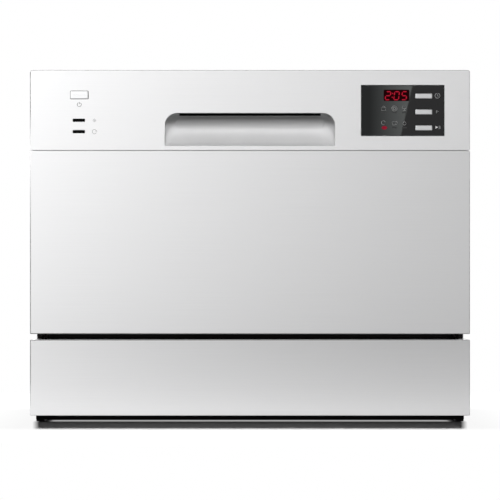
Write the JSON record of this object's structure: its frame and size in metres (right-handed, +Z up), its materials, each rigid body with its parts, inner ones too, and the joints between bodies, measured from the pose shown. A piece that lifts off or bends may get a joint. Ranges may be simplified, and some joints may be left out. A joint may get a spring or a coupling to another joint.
{
  "type": "countertop dishwasher",
  "caption": "Countertop dishwasher in silver-white with a drop-down door, pocket handle, display, wire dish basket, spray arm and wash pump.",
  "frame": {"origin": "on the floor, under the middle of the whole box", "axes": "+Z up; the door faces -Y; +X is to the right when looking at the door"},
  "size_m": [0.55, 0.5008, 0.44],
  "materials": {
    "silver_paint": "satin",
    "silver_plastic": "satin",
    "black_plastic": "matte",
    "black_paint": "matte",
    "foot_rubber": "matte",
    "zinc_sheet": "satin",
    "tub_steel": "brushed",
    "heater_steel": "satin",
    "spring_steel": "satin",
    "coated_wire": "satin",
    "seal_rubber": "matte",
    "hose_rubber": "matte",
    "hose_plastic": "matte",
    "grey_plastic": "matte",
    "white_plastic": "matte",
    "clear_plastic": "satin",
    "display_black": "gloss",
    "button_silver": "satin",
    "cap_blue": "matte",
    "board_green": "satin"
  },
  "bodies": {
    "cabinet": {"base_tray": "black_plastic", "feet": "foot_rubber", "kick_plate": "silver_paint", "front_crossmember": "black_paint", "left_side_panel": "silver_paint", "right_side_panel": "silver_paint", "top_cover": "silver_paint", "rear_panel": "zinc_sheet", "tub_wrapper": "tub_steel", "tub_rear_wall": "tub_steel", "tub_floor": "tub_steel", "tub_seal": "seal_rubber", "sump": "grey_plastic", "filter_plate": "tub_steel", "spray_arm_post": "grey_plastic", "heating_element": "heater_steel", "wash_pump_housing": "grey_plastic", "drain_pump": "grey_plastic", "softener_tank": "white_plastic", "air_breather": "clear_plastic", "inlet_valve": "white_plastic", "drain_outlet": "black_plastic", "cable_gland": "black_plastic", "fill_hose": "hose_rubber", "drain_hose": "hose_plastic", "hinge_brackets": "zinc_sheet", "door_springs": "spring_steel", "door_strike": "zinc_sheet", "cabinet_screws": "spring_steel"},
    "door": {"door_outer_panel": "silver_paint", "control_panel": "silver_plastic", "door_liner": "tub_steel", "handle_scoop": "silver_plastic", "display_window": "display_black", "control_board": "board_green", "indicator_lenses": "display_black", "hinge_arms": "zinc_sheet", "lip_seal": "seal_rubber", "detergent_dispenser": "white_plastic", "door_screws": "spring_steel"},
    "door_latch": {"latch_paddle": "black_plastic", "latch_hook": "zinc_sheet"},
    "power_button_key": {"power_button": "button_silver"},
    "delay_button_key": {"delay_button": "button_silver"},
    "program_button_key": {"program_button": "button_silver"},
    "start_button_key": {"start_button": "button_silver"},
    "dispenser_lid_slider": {"dispenser_lid": "grey_plastic"},
    "rinse_cap_knob": {"rinse_aid_cap": "cap_blue"},
    "spray_rotor": {"spray_arm": "grey_plastic"},
    "filter_cup": {"coarse_filter": "grey_plastic"},
    "salt_cap_knob": {"salt_cap": "grey_plastic"},
    "pump_shaft": {"pump_rotor": "spring_steel"},
    "basket": {"dish_basket": "coated_wire", "plate_tines": "coated_wire"},
    "basket_wheels_1": {"wheel_pair_1": "grey_plastic"},
    "basket_wheels_2": {"wheel_pair_2": "grey_plastic"},
    "basket_wheels_3": {"wheel_pair_3": "grey_plastic"},
    "basket_wheels_4": {"wheel_pair_4": "grey_plastic"},
    "shelf": {"cup_shelf": "coated_wire"},
    "cutlery_holder": {"cutlery_basket": "grey_plastic"}
  },
  "joints": [
    {"name": "door_hinge", "type": "hinge", "parent": "cabinet", "child": "door", "pos_m": [0, -0.2401, 0.119], "axis": [1, 0, 0], "range_deg": [0, 90], "stiffness_Nm_per_rad": 2.2, "deforming": ["door_springs"]},
    {"name": "basket_slide", "type": "slide", "parent": "cabinet", "child": "basket", "axis": [0, -1, 0], "range_m": [0, 0.11]},
    {"name": "cup_shelf_fold", "type": "hinge", "parent": "basket", "child": "shelf", "pos_m": [-0.203, 0.0049, 0.2646], "axis": [0, -1, 0], "range_deg": [0, 75]},
    {"name": "cutlery_basket_lift", "type": "slide", "parent": "basket", "child": "cutlery_holder", "axis": [0, 0, 1], "range_m": [0, 0.09]},
    {"name": "spray_arm_spin", "type": "hinge", "parent": "cabinet", "child": "spray_rotor", "pos_m": [0, 0.0049, 0.1423], "axis": [0, 0, 1], "continuous": true},
    {"name": "coarse_filter_turn", "type": "hinge", "parent": "cabinet", "child": "filter_cup", "pos_m": [0.062, -0.0471, 0.1183], "axis": [0, 0, 1], "range_deg": [0, 45]},
    {"name": "salt_cap_turn", "type": "hinge", "parent": "cabinet", "child": "salt_cap_knob", "pos_m": [-0.15, 0.0949, 0.1183], "axis": [0, 0, 1], "range_deg": [0, 90]},
    {"name": "pump_rotor_spin", "type": "hinge", "parent": "cabinet", "child": "pump_shaft", "pos_m": [0, -0.0471, 0.05], "axis": [1, 0, 0], "continuous": true},
    {"name": "latch_paddle_pull", "type": "hinge", "parent": "door", "child": "door_latch", "pos_m": [0, -0.2356, 0.4022], "axis": [1, 0, 0], "range_deg": [-8, 0], "stiffness_Nm_per_rad": 0.8, "springref_deg": 6.88},
    {"name": "dispenser_lid_slide", "type": "slide", "parent": "door", "child": "dispenser_lid_slider", "axis": [0, 0, -1], "range_m": [0, 0.054]},
    {"name": "rinse_cap_turn", "type": "hinge", "parent": "door", "child": "rinse_cap_knob", "pos_m": [0.068, -0.1966, 0.265], "axis": [0, 1, 0], "range_deg": [0, 90]},
    {"name": "wheel_roll_1", "type": "hinge", "parent": "basket", "child": "basket_wheels_1", "pos_m": [0, -0.1381, 0.1686], "axis": [1, 0, 0], "range_deg": [0, 640]},
    {"name": "wheel_roll_2", "type": "hinge", "parent": "basket", "child": "basket_wheels_2", "pos_m": [0, -0.0981, 0.1686], "axis": [1, 0, 0], "range_deg": [0, 640]},
    {"name": "wheel_roll_3", "type": "hinge", "parent": "basket", "child": "basket_wheels_3", "pos_m": [0, 0.1199, 0.1686], "axis": [1, 0, 0], "range_deg": [0, 640]},
    {"name": "wheel_roll_4", "type": "hinge", "parent": "basket", "child": "basket_wheels_4", "pos_m": [0, 0.1599, 0.1686], "axis": [1, 0, 0], "range_deg": [0, 640]},
    {"name": "power_button_press", "type": "slide", "parent": "door", "child": "power_button_key", "axis": [0, 1, 0], "range_m": [0, 0.002], "stiffness_N_per_m": 400, "springref_m": -0.001},
    {"name": "delay_button_press", "type": "slide", "parent": "door", "child": "delay_button_key", "axis": [0, 1, 0], "range_m": [0, 0.0012], "stiffness_N_per_m": 400, "springref_m": -0.001},
    {"name": "program_button_press", "type": "slide", "parent": "door", "child": "program_button_key", "axis": [0, 1, 0], "range_m": [0, 0.0012], "stiffness_N_per_m": 400, "springref_m": -0.001},
    {"name": "start_button_press", "type": "slide", "parent": "door", "child": "start_button_key", "axis": [0, 1, 0], "range_m": [0, 0.0012], "stiffness_N_per_m": 400, "springref_m": -0.001}
  ],
  "couplings": [
    {"joint": "basket_slide", "follows": "door_hinge", "m_per_rad": 0.07},
    {"joint": "wheel_roll_1", "follows": "door_hinge", "ratio": 7},
    {"joint": "wheel_roll_2", "follows": "door_hinge", "ratio": 7},
    {"joint": "wheel_roll_3", "follows": "door_hinge", "ratio": 7},
    {"joint": "wheel_roll_4", "follows": "door_hinge", "ratio": 7}
  ]
}
